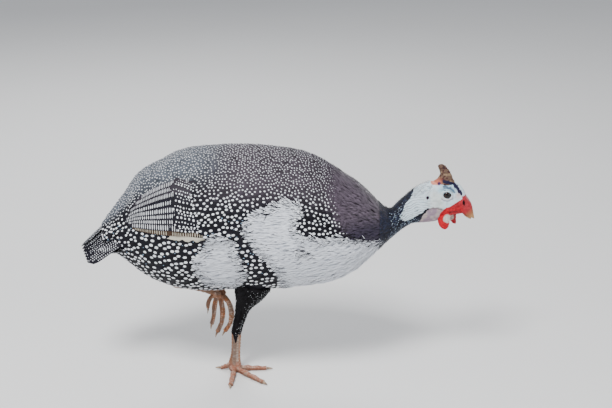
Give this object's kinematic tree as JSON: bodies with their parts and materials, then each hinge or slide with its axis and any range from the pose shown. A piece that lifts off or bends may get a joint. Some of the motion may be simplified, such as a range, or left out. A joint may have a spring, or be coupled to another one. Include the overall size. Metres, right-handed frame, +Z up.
{
  "type": "helmeted guinea fowl figure",
  "caption": "Life-size guinea fowl in mid-step, standing on one foot with the other raised and its neck stretched forward.",
  "frame": {"origin": "bottom centre of the bounding box, on the floor under the foot", "axes": "+X forward, towards the bill; +Y to the bird's left; +Z up"},
  "size_m": [0.5234, 0.153, 0.3287],
  "materials": {
    "plumage": "soft grey-black feathers with white pearls",
    "collar": "short slate-purple feathers",
    "bare_skin": "bare bluish-white wrinkled skin",
    "casque": "rough brown horn",
    "bill": "horn, red at the root and pale at the tip",
    "wattle": "soft red skin",
    "eye": "wet and dark",
    "leg": "scaled skin",
    "claw": "smooth horn"
  },
  "bodies": {
    "root": {"bill_lower": "bill", "bill_upper": "bill", "casque": "casque", "claw_hallux_left": "claw", "claw_hallux_right": "claw", "claw_inner_left": "claw", "claw_inner_right": "claw", "claw_middle_left": "claw", "claw_middle_right": "claw", "claw_outer_left": "claw", "claw_outer_right": "claw", "eye_left": "eye", "eye_right": "eye", "head": "bare_skin", "neck": "collar", "shank_left": "leg", "shank_right": "leg", "tail": "plumage", "thigh_left": "plumage", "thigh_right": "plumage", "toe_hallux_left": "leg", "toe_hallux_right": "leg", "toe_inner_left": "leg", "toe_inner_right": "leg", "toe_middle_left": "leg", "toe_middle_right": "leg", "toe_outer_left": "leg", "toe_outer_right": "leg", "torso": "plumage", "wattle_left": "wattle", "wattle_right": "wattle", "wing_left": "plumage", "wing_right": "plumage"}
  },
  "joints": []
}
